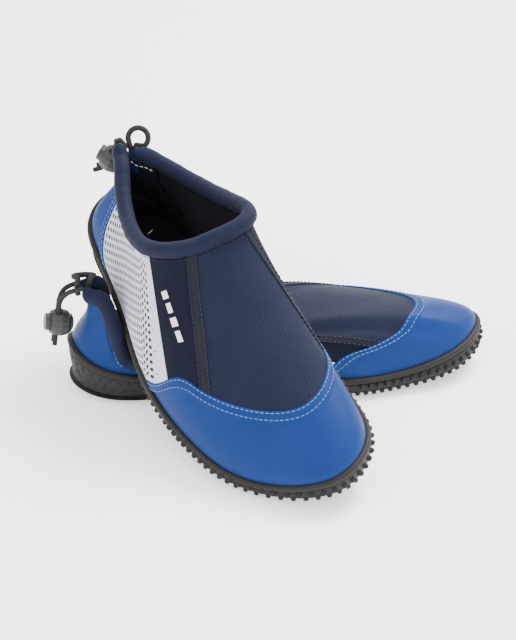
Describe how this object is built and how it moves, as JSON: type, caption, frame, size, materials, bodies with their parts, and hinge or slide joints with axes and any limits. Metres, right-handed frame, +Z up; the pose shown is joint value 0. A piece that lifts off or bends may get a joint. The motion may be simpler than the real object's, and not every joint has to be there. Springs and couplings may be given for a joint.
{
  "type": "water shoes",
  "caption": "Pair of slip-on neoprene water shoes with studded rubber soles, mesh side panels, padded collars, pull loops, and drawcords with sprung cord locks",
  "frame": {"origin": "centre of the flat heel pad under the left shoe's outsole, on the floor", "axes": "+X from the left shoe's heel towards its toe, +Y to the left shoe's outer side, +Z up"},
  "size_m": [0.2733, 0.2375, 0.1579],
  "materials": {
    "outsole_rubber": "matte",
    "sock_board": "matte",
    "insole_foam": "matte",
    "royal_neoprene": "satin",
    "navy_neoprene": "matte",
    "perforated_mesh": "matte",
    "seam_tape": "satin",
    "collar_lycra": "matte",
    "elastic_cord": "matte",
    "lock_plastic": "semi-gloss",
    "spring_steel": "bright"
  },
  "bodies": {
    "left_shoe": {"left_outsole": "outsole_rubber", "left_sock_board": "sock_board", "left_insole": "insole_foam", "left_heel_counter": "royal_neoprene", "left_lateral_mesh": "perforated_mesh", "left_medial_mesh": "perforated_mesh", "left_toe_cap": "royal_neoprene", "left_lateral_side_panel": "navy_neoprene", "left_medial_side_panel": "navy_neoprene", "left_lateral_seam_tape": "seam_tape", "left_medial_seam_tape": "seam_tape", "left_vamp": "navy_neoprene", "left_collar": "collar_lycra", "left_drawcord": "elastic_cord", "left_pull_loop": "elastic_cord"},
    "left_cord_lock": {"left_cord_lock_body": "lock_plastic", "left_cord_lock_spring": "spring_steel"},
    "left_lock_button": {"left_cord_lock_button": "lock_plastic"},
    "right_shoe": {"right_outsole": "outsole_rubber", "right_sock_board": "sock_board", "right_insole": "insole_foam", "right_heel_counter": "royal_neoprene", "right_lateral_mesh": "perforated_mesh", "right_medial_mesh": "perforated_mesh", "right_toe_cap": "royal_neoprene", "right_lateral_side_panel": "navy_neoprene", "right_medial_side_panel": "navy_neoprene", "right_lateral_seam_tape": "seam_tape", "right_medial_seam_tape": "seam_tape", "right_vamp": "navy_neoprene", "right_collar": "collar_lycra", "right_drawcord": "elastic_cord", "right_pull_loop": "elastic_cord"},
    "right_cord_lock": {"right_cord_lock_body": "lock_plastic", "right_cord_lock_spring": "spring_steel"},
    "right_lock_button": {"right_cord_lock_button": "lock_plastic"}
  },
  "joints": [
    {"name": "right_shoe_lift", "type": "slide", "parent": "left_shoe", "child": "right_shoe", "axis": [0, 0, 1], "range_m": [0, 0.15]},
    {"name": "left_cord_lock_slide", "type": "slide", "parent": "left_shoe", "child": "left_cord_lock", "axis": [-0.1498, 0, -0.9887], "range_m": [-0.005, 0.008]},
    {"name": "left_lock_button_press", "type": "slide", "parent": "left_cord_lock", "child": "left_lock_button", "axis": [0.9887, 0, -0.1498], "range_m": [0, 0.0022], "stiffness_N_per_m": 600, "springref_m": -0.002, "deforming": ["left_cord_lock_spring"]},
    {"name": "right_cord_lock_slide", "type": "slide", "parent": "right_shoe", "child": "right_cord_lock", "axis": [-0.291, 0.4075, -0.8656], "range_m": [-0.005, 0.008]},
    {"name": "right_lock_button_press", "type": "slide", "parent": "right_cord_lock", "child": "right_lock_button", "axis": [0.7952, -0.4001, -0.4557], "range_m": [0, 0.0022], "stiffness_N_per_m": 600, "springref_m": -0.002, "deforming": ["right_cord_lock_spring"]}
  ]
}
